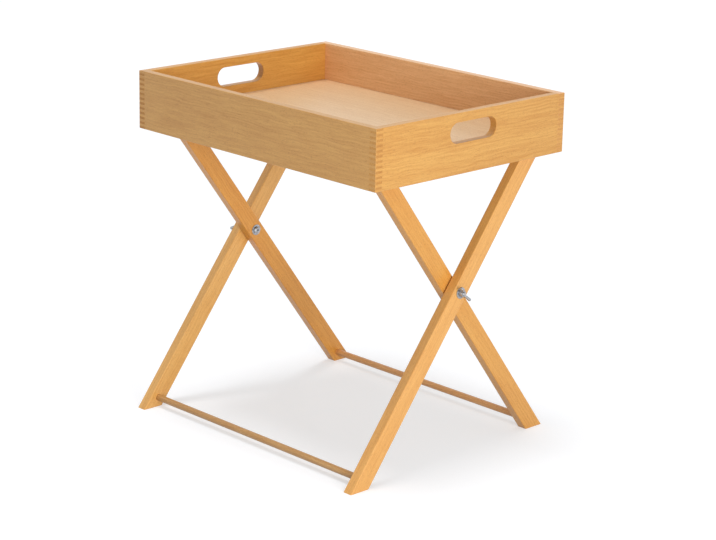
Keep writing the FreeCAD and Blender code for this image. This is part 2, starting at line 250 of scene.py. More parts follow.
def put_out(tree, group_output, colour, roughness, height):
    """Link the three results of a pattern to the output of its group."""
    for socket, content in {"Colour": colour, "Roughness": roughness, "Height": height}.items():
        tree.links.new(content, group_output.inputs[socket])


# %% Helpers for sums and colours
def reckon(tree, operation, first, second):
    """Reckon with two values."""
    return add_node(tree, "ShaderNodeMath", {0: first, 1: second}, operation=operation).outputs[0]


def weigh_up(tree, *terms):
    """Add up values, each times its own weight."""
    total = 0
    for value, weight in terms:
        inputs = {0: value, 1: weight, 2: total}
        total = add_node(tree, "ShaderNodeMath", inputs, operation="MULTIPLY_ADD").outputs[0]
    return total


def on_vectors(tree, operation, *terms):
    """Reckon with vectors."""
    return add_node(tree, "ShaderNodeVectorMath", dict(enumerate(terms)), operation=operation).outputs[0]


def rescale(tree, value, limits, ends=(0, 1)):
    """Stretch the part of a value between two limits to two new ends."""
    return add_node(tree, "ShaderNodeMapRange", dict(enumerate((value, *limits, *ends)))).outputs[0]


def blend_colours(tree, share, first, second, how="MIX"):
    """Mix two colours."""
    inputs = {0: share, 6: first, 7: second}
    return add_node(tree, "ShaderNodeMix", inputs, data_type="RGBA", blend_type=how).outputs[2]


# %% Helpers for noise
def noise(tree, place, scale, detail):
    """Noise, as a value and as a colour."""
    inputs = {"Vector": place, "Scale": scale, "Detail": detail}
    return add_node(tree, "ShaderNodeTexNoise", inputs).outputs


def streaks(tree, place, length, width, detail):
    """Noise whose spots are this long along the grain and this wide across it."""
    drawn_out = on_vectors(tree, "MULTIPLY", place, (1 / length, 1 / width, 1 / width))
    return noise(tree, drawn_out, 1, detail)


# %% The beech group
WOOD_SOCKETS = {
    "Place": "NodeSocketVector", "End": "NodeSocketFloat",
    "Pale": "NodeSocketColor", "Deep": "NodeSocketColor", "End tint": "NodeSocketColor",
}
PATTERN_SOCKETS = {"Colour": "NodeSocketColor", "Roughness": "NodeSocketFloat", "Height": "NodeSocketFloat"}
# Each layer's length along the grain, its width across it, and how much finer noise is in it
WANDER_STREAKS = (60 * MILLIMETRE, 30 * MILLIMETRE, 1)
BAND_STREAKS = (600 * MILLIMETRE, 35 * MILLIMETRE, 2)
LINE_STREAKS = (75 * MILLIMETRE, 2.6 * MILLIMETRE, 3)
PORE_STREAKS = (12 * MILLIMETRE, 0.4 * MILLIMETRE, 1)
FLECK_STREAKS = (4.2 * MILLIMETRE, 0.6 * MILLIMETRE, 0)
WANDER = 7 * MILLIMETRE
HALF = (0.5, 0.5, 0.5)

beech, wood_in, wood_out = new_group("beech_grain", WOOD_SOCKETS, PATTERN_SOCKETS)
straight = wood_in.outputs["Place"]
drift = on_vectors(beech, "SUBTRACT", streaks(beech, straight, *WANDER_STREAKS)[1], HALF)
spot = on_vectors(beech, "MULTIPLY_ADD", drift, (0, WANDER, WANDER), straight)
bands = streaks(beech, spot, *BAND_STREAKS)[0]
lines = streaks(beech, spot, *LINE_STREAKS)[0]
pores = streaks(beech, spot, *PORE_STREAKS)[0]
fleck_noise = streaks(beech, spot, *FLECK_STREAKS)[0]

# %% Growth rings round the pith
RING_PITCH = 3.4 * MILLIMETRE
WAVE_PITCH = 2 * math.pi / 20
PITH = (0, 0.031, 0.083)
RING_STRETCH = (0.035, 1, 1)
RING_WAVES = {"Scale": WAVE_PITCH / RING_PITCH, "Distortion": 9, "Detail": 2, "Detail Scale": 0.22}
from_pith = on_vectors(beech, "MULTIPLY_ADD", spot, RING_STRETCH, PITH)
rings = add_node(
    beech, "ShaderNodeTexWave", {"Vector": from_pith, **RING_WAVES},
    wave_type="RINGS", rings_direction="X", wave_profile="SAW").outputs[1]

# %% Mix the beech layers
NOISE_MIDDLE = (0.3, 0.7)
LINE_MIDDLE = (0.35, 0.65)
FLECK_LIMITS = (0.58, 0.74)
BAND_TONE = 0.32
RING_TONE = 0.24
LINE_TONE = 0.5
FLECK_TONE = 0.4
FLECK_TINT = (0.55, 0.42, 0.34, 1)
PORE_HEIGHT = 0.6
LINE_HEIGHT = 0.4
FLECK_HEIGHT = -0.25
LACQUER_ROUGHNESS = (0.36, 0.46)
FLECK_ROUGHNESS = 0.06
END_ROUGHNESS = 0.12

flecks = rescale(beech, fleck_noise, FLECK_LIMITS)
soft_bands = rescale(beech, bands, NOISE_MIDDLE)
soft_lines = rescale(beech, lines, LINE_MIDDLE)
tone = weigh_up(beech, (soft_bands, BAND_TONE), (rings, RING_TONE), (soft_lines, LINE_TONE))
plain = blend_colours(beech, tone, wood_in.outputs["Pale"], wood_in.outputs["Deep"])
fleck_share = reckon(beech, "MULTIPLY", flecks, FLECK_TONE)
flecked = blend_colours(beech, fleck_share, plain, FLECK_TINT, "MULTIPLY")
is_end = wood_in.outputs["End"]
wood_colour = blend_colours(beech, is_end, flecked, wood_in.outputs["End tint"], "MULTIPLY")
height = weigh_up(beech, (pores, PORE_HEIGHT), (lines, LINE_HEIGHT), (flecks, FLECK_HEIGHT))
lacquer = rescale(beech, pores, NOISE_MIDDLE, LACQUER_ROUGHNESS)
roughness = weigh_up(beech, (lacquer, 1), (flecks, FLECK_ROUGHNESS), (is_end, END_ROUGHNESS))
put_out(beech, wood_out, wood_colour, roughness, height)
print("beech group:", len(beech.nodes), "nodes")

# %% [markdown]
# ## A beech finish for each board
# Each board was cut from another place in the log, so each material shifts the pattern by its own amount
# and turns it to the board's own length. A face that looks along the grain is end grain, which drinks
# the lacquer and looks darker: the object's own normal tells it apart, and a tint darkens it, by as much as
# the board is thirsty. A thin satin lacquer is the coat.

# %% Start a material and let a pattern drive it
def start_material(name):
    """Start a material; give it, its tree and its shader."""
    material = bpy.data.materials.new(name)
    material.use_nodes = True
    tree = material.node_tree
    return material, tree, tree.nodes["Principled BSDF"]


def drive(tree, shader, pattern, strength, depth):
    """Let a pattern's colour, roughness and height drive a shader."""
    relief = {"Height": pattern.outputs["Height"], "Strength": strength, "Distance": depth}
    links = {
        "Base Color": pattern.outputs["Colour"],
        "Roughness": pattern.outputs["Roughness"],
        "Normal": add_node(tree, "ShaderNodeBump", relief).outputs[0],
    }
    for socket, content in links.items():
        tree.links.new(content, shader.inputs[socket])


# %% A function for beech finishes
ALONG_X = Vector((1, 0, 0))
ALONG_Y = Vector((0, 1, 0))
BEECH_PALE = (0.729, 0.398, 0.101, 1)
BEECH_DEEP = (0.571, 0.255, 0.047, 1)
END_TINT = (0.84, 0.73, 0.56, 1)
END_LIMITS = (0.65, 0.8)
GRAIN_STRENGTH = 0.25
GRAIN_DEPTH = 0.15 * MILLIMETRE
POLISH = 0.25
POLISH_ROUGHNESS = 0.3


def beech_finish(name, grain, shift, pale=BEECH_PALE, deep=BEECH_DEEP, end_tint=END_TINT, polish=POLISH):
    """A lacquered beech material with its grain along a direction."""
    material, tree, shader = start_material(name)
    coordinates = add_node(tree, "ShaderNodeTexCoord", {}).outputs
    turn = grain.rotation_difference(ALONG_X).to_euler()
    in_log = {"Vector": coordinates["Object"], "Location": shift, "Rotation": turn}
    place = add_node(tree, "ShaderNodeMapping", in_log).outputs[0]
    both_ways = {0: coordinates["Normal"], 1: grain}
    facing = add_node(tree, "ShaderNodeVectorMath", both_ways, operation="DOT_PRODUCT").outputs["Value"]
    end = rescale(tree, reckon(tree, "ABSOLUTE", facing, 0), END_LIMITS)
    inputs = {"Place": place, "End": end, "Pale": pale, "Deep": deep, "End tint": end_tint}
    pattern = add_node(tree, "ShaderNodeGroup", inputs, node_tree=beech)
    drive(tree, shader, pattern, GRAIN_STRENGTH, GRAIN_DEPTH)
    shader.inputs["Coat Weight"].default_value = polish
    shader.inputs["Coat Roughness"].default_value = POLISH_ROUGHNESS
    return material


# %% [markdown]
# ## A finish for plated steel
# The bolts, washers and wing nuts are zinc plated: a grey metal, a little cloudy, brighter and duller in
# spots. Metal looks flat without something to reflect, so most of its look comes from the roughness.

# %% The plated steel group and finish
CLOUD_SCALE = 260
CLOUD_DETAIL = 4
GRIT_SCALE = 2600
GRIT_DETAIL = 2
GRIT_STRENGTH = 0.15
GRIT_DEPTH = 0.05 * MILLIMETRE
ZINC_BRIGHT = (0.52, 0.53, 0.55, 1)
ZINC_DULL = (0.31, 0.32, 0.34, 1)
ZINC_ROUGHNESS = (0.28, 0.5)
plating, steel_in, steel_out = new_group("zinc_plating", {"Place": "NodeSocketVector"}, PATTERN_SOCKETS)
clouds = noise(plating, steel_in.outputs["Place"], CLOUD_SCALE, CLOUD_DETAIL)[0]
grit = noise(plating, steel_in.outputs["Place"], GRIT_SCALE, GRIT_DETAIL)[0]
zinc = blend_colours(plating, rescale(plating, clouds, NOISE_MIDDLE), ZINC_BRIGHT, ZINC_DULL)
put_out(plating, steel_out, zinc, rescale(plating, clouds, NOISE_MIDDLE, ZINC_ROUGHNESS), grit)

steel_finish, tree, shader = start_material("plated_steel")
coordinates = add_node(tree, "ShaderNodeTexCoord", {}).outputs
pattern = add_node(tree, "ShaderNodeGroup", {"Place": coordinates["Object"]}, node_tree=plating)
drive(tree, shader, pattern, GRIT_STRENGTH, GRIT_DEPTH)
shader.inputs["Metallic"].default_value = 1
print("finishes so far:", [material.name for material in bpy.data.materials])

# %% [markdown]
# ## Handing a piece over
# A finished piece takes the place of a solid: it rides on the body that the solid belongs to. Its rounded
# edges are shaded smooth, and the Weighted Normal modifier lets the large flat faces decide the shading,
# so that they stay flat up to the rounding.

# %% Finish and hand over
SMOOTH_ANGLE = math.radians(40)
home = {node: body for body, nodes in frame["record"]["behaviour"]["bodies"].items() for node in nodes}


def give_finish(piece, material):
    """Make a material the only one of a piece."""
    piece.data.materials.clear()
    piece.data.materials.append(material)


def hand_over(piece, node, material):
    """Shade a piece, give it its finish, and let it stand for a solid on the solid's own body."""
    take_up(piece)
    bpy.ops.object.shade_smooth_by_angle(angle=SMOOTH_ANGLE)
    apply_modifier(piece, "WEIGHTED_NORMAL", keep_sharp=True)
    give_finish(piece, material)
    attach(piece, home[node])
    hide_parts(node)
    print(piece.name, "faces:", len(piece.data.polygons))


# %% [markdown]
# ## The tray walls
# On the real tray, the ends of the boards are cut into fingers that slide between each other and are
# glued. Fingers could be cut with Boolean tools. It is plainer to slice the board at every finger line and
# then pull out every other end face. The floor sits in a groove, which is a band pushed inwards.

# %% Measure the walls
long_low, long_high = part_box("tray_front_wall")
end_low, end_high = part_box("tray_right_end")
floor_low, floor_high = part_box("tray_floor")
WALL_THICK = long_high.y - long_low.y
FINGERS = 24
FINGER_HEIGHT = (long_high.z - long_low.z) / FINGERS
GROOVE_DEPTH = 6 * MILLIMETRE
GROOVE_STOP = 0.3 * MILLIMETRE
GROOVE_PLAY = 0.2 * MILLIMETRE
print("wall:", round(WALL_THICK, 4), "finger:", round(FINGER_HEIGHT, 5))


# %% Slice, pull out the fingers and push in the groove
def slice_at(place, normal):
    """Cut new edges all round a piece where a plane meets it."""
    bpy.ops.mesh.select_all(action="SELECT")
    bpy.ops.mesh.bisect(plane_co=place, plane_no=normal)


def pull_fingers(wall, low, run, first):
    """Pull out every other strip of both end faces; run is the axis that the wall runs along."""
    for number in range(1, FINGERS):
        slice_at((0, 0, low.z + number * FINGER_HEIGHT), (0, 0, 1))
    for way in (-1, 1):
        def is_finger(face):
            row = int((face.calc_center_median().z - low.z) / FINGER_HEIGHT)
            return face.normal[run] * way > SQUARE_ON and row % 2 == first
        step = Vector()
        step[run] = way * WALL_THICK
        pick(wall, "faces", is_finger)
        bpy.ops.mesh.extrude_region_move(TRANSFORM_OT_translate={"value": step})


def push_groove(wall, shoulder, run, inside):
    """Push in the band that holds the edge of the floor, short of the fingers."""
    groove_low, groove_high = floor_low.z, floor_high.z + GROOVE_PLAY
    stop = Vector()
    stop[run] = shoulder - GROOVE_STOP
    for place in (stop, -stop):
        slice_at(place, stop.normalized())
    for groove_edge in (groove_low, groove_high):
        slice_at((0, 0, groove_edge), (0, 0, 1))

    def in_groove(face):
        middle = face.calc_center_median()
        in_band = groove_low < middle.z < groove_high and abs(middle[run]) < stop[run]
        return in_band and face.normal.dot(inside) > SQUARE_ON
    pick(wall, "faces", in_groove)
    bpy.ops.mesh.extrude_region_move(TRANSFORM_OT_translate={"value": inside * -GROOVE_DEPTH})


# %% Round the arrises and ease the fingers
WALL_ROUNDING = 1.2 * MILLIMETRE
FLAT_ANGLE = math.radians(1)
FINGER_EASE = 0.15 * MILLIMETRE
FINGER_ANGLE = math.radians(60)


def round_wall(wall, low, high, run, inside):
    """Round the rim, the lower edge and the corners of the tray, which were sanded after gluing."""
    across = 1 - run
    outer, inner = (low, high) if inside[across] > 0 else (high, low)

    def is_arris(edge):
        flat = at_ends(edge, 2, low, high)
        at_tip = at_ends(edge, run, low, high)
        at_outer = is_level(edge, across, outer[across])
        reach = max(abs(vert.co[run]) for vert in edge.verts)
        at_inner = is_level(edge, across, inner[across]) and reach < high[run] - WALL_THICK + NEAR
        return (flat and (at_outer or at_inner or at_tip)) or (at_outer and at_tip)
    count = round_edges(wall, is_arris, WALL_ROUNDING, ROUND_STEPS)
    bpy.ops.mesh.select_all(action="SELECT")
    bpy.ops.mesh.dissolve_limited(angle_limit=FLAT_ANGLE)
    print(wall.name, "rounded edges:", count)


def ease_fingers(wall):
    """Take the sharpness off the edges of the fingers."""
    apply_modifier(
        wall, "BEVEL", width=FINGER_EASE, segments=1, limit_method="ANGLE", angle_limit=FINGER_ANGLE)


# %% Model the long walls
def jointed_wall(name, low, high, run, first, inside):
    """Model one wall of the tray."""
    shoulder_low, shoulder_high = low.copy(), high.copy()
    shoulder_low[run] += WALL_THICK
    shoulder_high[run] -= WALL_THICK
    wall = block(name, shoulder_low, shoulder_high)
    edit(wall, "FACE")
    pull_fingers(wall, low, run, first)
    push_groove(wall, shoulder_high[run], run, inside)
    round_wall(wall, low, high, run, inside)
    put_down()
    return wall


front_wall = jointed_wall("front_wall_board", long_low, long_high, run=0, first=1, inside=ALONG_Y)
ease_fingers(front_wall)
back_wall = copy_of(front_wall, "back_wall_board", scale=(1, -1, 1))

# %% [markdown]
# ## The handle slots
# Each end wall has a slot for the hand, with round ends and a rounded edge. A drill at each end and a saw
# between them would make it. The tool here is one round bar whose two halves are moved apart. It has 62
# sides, two more than a multiple of four, so it has a flat on top and below, where the halves part.
# The cut leaves stray lines on the wall that run up to the slot. Without Loop Slide, the rounding doesn't
# follow them and keeps an even width.

# %% Model an end wall and the tool for its slot
SLOT_LENGTH = 110 * MILLIMETRE
SLOT_HEIGHT = 35 * MILLIMETRE
SLOT_DROP = 33.5 * MILLIMETRE
SLOT_SIDES = 62


def slot_tool(middle):
    """A stadium-shaped tool that reaches through an end wall."""
    reach = Vector((WALL_THICK, SLOT_HEIGHT / 2, SLOT_HEIGHT / 2))
    tool = bar("slot_tool", middle - reach, middle + reach, SLOT_SIDES)
    edit(tool, "VERT")
    for way in (-1, 1):
        pick(tool, "verts", lambda vert: vert.co.y * way > NEAR)
        bpy.ops.transform.translate(value=(0, way * (SLOT_LENGTH - SLOT_HEIGHT) / 2, 0))
    put_down()
    return tool


right_wall = jointed_wall("right_end_board", end_low, end_high, run=1, first=0, inside=-ALONG_X)
slot_middle = Vector(((end_low.x + end_high.x) / 2, 0, end_high.z - SLOT_DROP))
cut(right_wall, slot_tool(slot_middle))

# %% Round the slot and copy the wall
SLOT_ROUNDING = 1.4 * MILLIMETRE
SLOT_STEPS = 5


def is_slot_edge(edge):
    """True for the edges of the slot on both faces of the wall."""
    offsets = [vert.co - slot_middle for vert in edge.verts]
    in_length = all(abs(offset.y) < SLOT_LENGTH / 2 + NEAR for offset in offsets)
    in_height = all(abs(offset.z) < SLOT_HEIGHT / 2 + NEAR for offset in offsets)
    return at_ends(edge, 0, end_low, end_high) and in_length and in_height


edit(right_wall, "EDGE")
print("slot edges:", round_edges(right_wall, is_slot_edge, SLOT_ROUNDING, SLOT_STEPS, slide=False))
ease_fingers(right_wall)
left_wall = copy_of(right_wall, "left_end_board", scale=(-1, 1, 1))

# %% Finish the walls
FRONT_PALE = (0.721, 0.405, 0.118, 1)
FRONT_DEEP = (0.555, 0.266, 0.061, 1)
BACK_PALE = (0.919, 0.562, 0.283, 1)
BACK_DEEP = (0.72, 0.373, 0.157, 1)
LEFT_PALE = (0.756, 0.406, 0.096, 1)
LEFT_DEEP = (0.591, 0.26, 0.044, 1)
BACK_END_TINT = (0.74, 0.62, 0.34, 1)
RIGHT_END_TINT = (0.91, 0.87, 0.8, 1)
LEFT_END_TINT = (0.7, 0.62, 0.5, 1)
wall_finishes = {
    "tray_front_wall": (front_wall, ALONG_X, (0.31, 0.017, -0.52), FRONT_PALE, FRONT_DEEP, END_TINT),
    "tray_back_wall": (back_wall, ALONG_X, (1.73, -0.041, -0.49), BACK_PALE, BACK_DEEP, BACK_END_TINT),
    "tray_right_end": (right_wall, ALONG_Y, (2.91, 0.062, -0.545), BEECH_PALE, BEECH_DEEP, RIGHT_END_TINT),
    "tray_left_end": (left_wall, ALONG_Y, (4.37, 0.025, -0.51), LEFT_PALE, LEFT_DEEP, LEFT_END_TINT),
}
for node_name, (wall, grain, shift, *tones) in wall_finishes.items():
    hand_over(wall, node_name, beech_finish("beech_" + wall.name, grain, shift, *tones))

# %% [markdown]
# ## The floor panel
# The floor is a thin veneered panel. Its solid already has the right shape, with tongues that sit in the
# grooves, so it stays and only gets a finish: a paler, rosier beech with less polish.

# %% Finish the floor panel
PANEL_PALE = (0.87, 0.64, 0.405, 1)
PANEL_DEEP = (0.737, 0.492, 0.268, 1)
PANEL_SHIFT = (0.7, 0.2, -0.55)
PANEL_POLISH = 0.2
panel_finish = beech_finish("beech_panel", ALONG_X, PANEL_SHIFT, PANEL_PALE, PANEL_DEEP, polish=PANEL_POLISH)
give_finish(frame["nodes"]["tray_floor"], panel_finish)
print("floor panel:", panel_finish.name)

# %% [markdown]
# ## The legs
# A leg is a straight board that leans, with both ends cut level. Blender's Shear tool needs a window, but
# a block whose top face is slid sideways has the same shape. The four long edges are rounded by a router.
# Holes are drilled for the pivot bolt, the rod and the dowel pins. One leg is modelled and then mirrored.

# %% Measure the stand
LEG_LEAN = math.radians(37)
LEG_WIDTH = 33 * MILLIMETRE
LEG_ROUNDING = 1.6 * MILLIMETRE
END_EASE = 0.5 * MILLIMETRE
GLUE_LINE = 0.1 * MILLIMETRE
BORE_RADIUS = 3.05 * MILLIMETRE
leg_low, leg_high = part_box("outer_leg_right")
inner_low, inner_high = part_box("inner_leg_right")
bolt_low, bolt_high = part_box("pivot_bolt_right")
rod_low, rod_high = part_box("outer_bottom_rod")
pin_low, pin_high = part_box("outer_rail_pins")
PIVOT = (bolt_low + bolt_high) / 2
PIN_RADIUS = (pin_high.y - pin_low.y) / 2
print("pivot height:", round(PIVOT.z, 4))

# %% Model a leg
LEG_CUT = LEG_WIDTH / math.cos(LEG_LEAN)
foot_high = Vector((leg_high.x, leg_low.y + LEG_CUT, leg_high.z))
outer_right = block("outer_right_leg_board", leg_low, foot_high)
edit(outer_right, "VERT")
pick(outer_right, "verts", lambda vert: vert.co.z > leg_high.z - NEAR)
bpy.ops.transform.translate(value=(0, leg_high.z * math.tan(LEG_LEAN), 0))
long_edges = round_edges(outer_right, lambda edge: edge.calc_length() > leg_high.z, LEG_ROUNDING, ROUND_STEPS)
end_edges = round_edges(outer_right, lambda edge: at_ends(edge, 2, leg_low, leg_high), END_EASE, FINE_STEPS)
print("leg edges rounded:", long_edges, "along it and", end_edges, "at its ends")

# %% Drill the leg and copy it
ROD_RADIUS = (rod_high.z - rod_low.z) / 2
rod_middle = (rod_low + rod_high) / 2
hole_start = leg_low.x - DRILL_OVERSHOOT
drill(outer_right, hole_start, leg_high.x + DRILL_OVERSHOOT, PIVOT, BORE_RADIUS)
drill(outer_right, hole_start, rod_high.x, rod_middle, ROD_RADIUS + GLUE_LINE)
pin_heights = (pin_low.z + PIN_RADIUS, pin_high.z - PIN_RADIUS)
pin_across = (pin_low.y + pin_high.y) / 2
for pin_height in pin_heights:
    pin_spot = Vector((0, pin_across, pin_height))
    drill(outer_right, hole_start, pin_high.x, pin_spot, PIN_RADIUS + GLUE_LINE)
inner_shift = inner_low.x - leg_low.x
outer_left = copy_of(outer_right, "outer_left_leg_board", scale=(-1, 1, 1))
inner_right = copy_of(outer_right, "inner_right_leg_board", scale=(1, -1, 1), move=(inner_shift, 0, 0))
inner_left = copy_of(outer_right, "inner_left_leg_board", scale=(-1, -1, 1), move=(-inner_shift, 0, 0))

# %% Finish the legs
LEG_TONES = {
    "bright": ((0.825, 0.447, 0.131, 1), (0.678, 0.307, 0.065, 1)),
    "golden": ((0.759, 0.389, 0.088, 1), (0.624, 0.268, 0.043, 1)),
    "sandy": ((0.818, 0.478, 0.154, 1), (0.674, 0.329, 0.076, 1)),
    "ruddy": ((0.774, 0.374, 0.072, 1), (0.637, 0.257, 0.036, 1)),
}
back_lean = Vector((0, math.sin(LEG_LEAN), math.cos(LEG_LEAN)))
front_lean = Vector((0, -math.sin(LEG_LEAN), math.cos(LEG_LEAN)))
legs = {
    "outer_leg_right": (outer_right, back_lean, (0.2, 0.013, 0.02), "bright"),
    "outer_leg_left": (outer_left, back_lean, (1.4, 0.037, 0.05), "sandy"),
    "inner_leg_right": (inner_right, front_lean, (2.6, -0.022, -0.03), "golden"),
    "inner_leg_left": (inner_left, front_lean, (3.9, 0.008, 0.09), "ruddy"),
}
for node_name, (leg, grain, shift, leg_tone) in legs.items():
    hand_over(leg, node_name, beech_finish("beech_" + leg.name, grain, shift, *LEG_TONES[leg_tone]))

# %% [markdown]
# ## Rods and rails
# A turned rod near the feet and a flat rail under the tray hold each frame square. The rods have a small
# bevel at each end, so that they slide into their holes, and the rails have rounded long edges. The dowel
# pins inside are never seen, so their solids stay and only get a finish.

# %% Turn a rod
ROD_SIDES = 64
ROD_BEVEL = 0.8 * MILLIMETRE


def turned_rod(name, node):
    """Model a rod in the box of a solid."""
    low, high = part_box(node)
    rod = bar(name, low, high, ROD_SIDES)
    edit(rod, "EDGE")
    round_edges(rod, lambda edge: at_ends(edge, 0, low, high), ROD_BEVEL, FINE_STEPS)
    return rod


# %% Shape and drill a rail
RAIL_ROUNDING = 2 * MILLIMETRE


def flat_rail(name, node, pins_node):
    """Model a rail in the box of a solid, with holes for half of each dowel pin in its ends."""
    low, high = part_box(node)
    rail = block(name, low, high)
    edit(rail, "EDGE")
    round_edges(rail, lambda edge: edge.calc_length() > high.x, RAIL_ROUNDING, ROUND_STEPS)
    pins_low, pins_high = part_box(pins_node)
    hole_ends = (2 * high.x - pins_high.x, high.x + DRILL_OVERSHOOT)
    for pin_height in pin_heights:
        pin_spot = Vector((0, (pins_low.y + pins_high.y) / 2, pin_height))
        for way in (-1, 1):
            start, end = sorted(way * hole_end for hole_end in hole_ends)
            drill(rail, start, end, pin_spot, PIN_RADIUS + GLUE_LINE)
    return rail


# %% Finish the rods, rails and pins
FRAME_WOOD = {
    "outer": {
        "rod shift": (0.6, 0.013, -0.02), "rail shift": (1.0, 0.063, -0.5),
        "rod tones": ((0.605, 0.355, 0.132, 1), (0.47, 0.226, 0.063, 1)),
    },
    "inner": {
        "rod shift": (1.9, -0.027, -0.02), "rail shift": (2.3, 0.023, -0.5),
        "rod tones": ((0.795, 0.432, 0.167, 1), (0.618, 0.275, 0.082, 1)),
    },
}
for side_name, wood in FRAME_WOOD.items():
    rod_node = side_name + "_bottom_rod"
    rod = turned_rod(side_name + "_turned_rod", rod_node)
    rod_finish = beech_finish("beech_" + rod.name, ALONG_X, wood["rod shift"], *wood["rod tones"])
    hand_over(rod, rod_node, rod_finish)
    rail_node = side_name + "_top_rail"
    pins_node = side_name + "_rail_pins"
    rail = flat_rail(side_name + "_flat_rail", rail_node, pins_node)
    hand_over(rail, rail_node, beech_finish("beech_" + rail.name, ALONG_X, wood["rail shift"]))
    give_finish(frame["nodes"][pins_node], rod_finish)

# %% [markdown]
# ## Washers
# A washer is stamped out of sheet and tumbled, so its edges are a little rounded. It starts as a flat bar.
# Both round faces are inset to the size of the bore, and Bridge joins the two inner faces into a hole. Only
# the round edges get a bevel: the lines that the inset leaves between them lie in a flat face.

# %% Model the washers
WASHER_SIDES = 64
WASHER_BORE = 3.2 * MILLIMETRE
WASHER_ROUNDING = 0.35 * MILLIMETRE
WASHER_STEPS = 3


def washer(name, node):
    """Model a washer in the box of a solid."""
    low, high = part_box(node)
    middle = (low + high) / 2
    radius = (high.z - low.z) / 2
    ring = bar(name, low, high, WASHER_SIDES)
    edit(ring, "FACE")
    pick(ring, "faces", lambda face: abs(face.normal.x) > SQUARE_ON)
    bpy.ops.mesh.inset(thickness=radius - WASHER_BORE)
    bpy.ops.mesh.bridge_edge_loops()

    def is_round_edge(edge):
        near, far = sorted((vert.co - middle).yz.length for vert in edge.verts)
        return at_ends(edge, 0, low, high) and far - near < NEAR
    round_edges(ring, is_round_edge, WASHER_ROUNDING, WASHER_STEPS)
    put_down()
    return ring


for place_name in ("head", "spacer", "nut"):
    for side in ("left", "right"):
        node_name = place_name + "_washer_" + side
        ring = washer(side + "_" + place_name + "_ring", node_name)
        hand_over(ring, node_name, steel_finish)

# %% [markdown]
# ## The pivot bolts
# The stand folds on two bolts with domed heads and a hexagon socket, heads inwards. A lathe would turn
# such a bolt, and Spin could too. Here the end of a bar is extruded and scaled in steps, which is how a
# dome is felt out by hand. A thread can't be extruded, so its rings are cut first, and then every point
# is drawn in by an amount that runs round and along the bolt together, as a helix does.

# %% Turn a bolt
BOLT_SIDES = 48
BOLT_RADIUS = 3 * MILLIMETRE
THREAD_LENGTH = 13 * MILLIMETRE
HEAD_HEIGHT = 4 * MILLIMETRE
# Each step's height over the seat of the head and its radius there, in millimetres
HEAD_STEPS = ((0, 6.3), (0.25, 6.5), (1.3, 6.5), (2.2, 6.1), (3.0, 5.3), (3.6, 4.3), (3.92, 3.4), (4.0, 2.9))
head_seat = bolt_low.x + HEAD_HEIGHT
thread_start = bolt_high.x - THREAD_LENGTH


def axle_bar(name, start, end, radius, sides):
    """Start from a round bar on the X axis."""
    return bar(name, Vector((start, -radius, -radius)), Vector((end, radius, radius)), sides)


right_bolt = axle_bar("right_pivot_bolt", head_seat, thread_start, BOLT_RADIUS, BOLT_SIDES)
edit(right_bolt, "FACE")
pick(right_bolt, "faces", lambda face: face.normal.x < -SQUARE_ON)
depth, radius = 0, BOLT_RADIUS
for step, step_radius in HEAD_STEPS:
    new_depth, new_radius = step * MILLIMETRE, step_radius * MILLIMETRE
    scale = new_radius / radius
    bpy.ops.mesh.extrude_region_move(TRANSFORM_OT_translate={"value": (depth - new_depth, 0, 0)})
    bpy.ops.transform.resize(value=(1, scale, scale), center_override=(head_seat - new_depth, 0, 0))
    depth, radius = new_depth, new_radius
put_down()

# %% Cut the socket
SOCKET_SIDES = 6
SOCKET_RADIUS = 2.3 * MILLIMETRE
SOCKET_DEPTH = 2.2 * MILLIMETRE
socket_start = bolt_low.x - HEAD_HEIGHT
socket_floor = bolt_low.x + SOCKET_DEPTH
cut(right_bolt, axle_bar("socket_tool", socket_start, socket_floor, SOCKET_RADIUS, SOCKET_SIDES))
print("bolt faces before the thread:", len(right_bolt.data.polygons))

# %% Slice the end of the bolt for its thread
THREAD_RINGS = 103


def is_shank_end(face):
    """True for the flat end of the shank."""
    return face.normal.x > SQUARE_ON and face.calc_center_median().x > head_seat + NEAR


def is_thread_line(edge):
    """True for the lines along the part that gets the thread."""
    start, end = sorted(vert.co.x for vert in edge.verts)
    return start > thread_start - NEAR and end - start > THREAD_LENGTH - NEAR


edit(right_bolt, "FACE")
pick(right_bolt, "faces", is_shank_end)
bpy.ops.mesh.extrude_region_move(TRANSFORM_OT_translate={"value": (THREAD_LENGTH, 0, 0)})
bpy.ops.mesh.select_mode(type="EDGE")
print("lines along the thread:", pick(right_bolt, "edges", is_thread_line))
bpy.ops.mesh.subdivide(number_cuts=THREAD_RINGS)

# %% Draw in the thread
THREAD_PITCH = 1 * MILLIMETRE
THREAD_DEPTH = 0.5 * MILLIMETRE
THREAD_TIP = 0.8 * MILLIMETRE
DEEPEST = BOLT_RADIUS / 2
mesh = bmesh.from_edit_mesh(right_bolt.data)
for vert in mesh.verts:
    along = vert.co.x - thread_start
    if along > NEAR:
        out = Vector((0, vert.co.y, vert.co.z))
        wave = (along / THREAD_PITCH - math.atan2(out.z, out.y) / (2 * math.pi)) % 1
        drawn = THREAD_DEPTH * abs(2 * wave - 1) + max(0, along - THREAD_LENGTH + THREAD_TIP)
        vert.co -= out.normalized() * min(drawn, DEEPEST)
bmesh.update_edit_mesh(right_bolt.data)
put_down()
print("turns of the thread:", round(THREAD_LENGTH / THREAD_PITCH))

# %% Put the bolts in place
UP_TO_PIVOT = Vector((0, 0, PIVOT.z))
HALF_TURN = (0, 0, math.pi)
left_bolt = copy_of(right_bolt, "left_pivot_bolt", move=UP_TO_PIVOT, turn=HALF_TURN)
take_up(right_bolt)
right_bolt.location = UP_TO_PIVOT
settle(right_bolt, right_bolt.name)
hand_over(right_bolt, "pivot_bolt_right", steel_finish)
hand_over(left_bolt, "pivot_bolt_left", steel_finish)

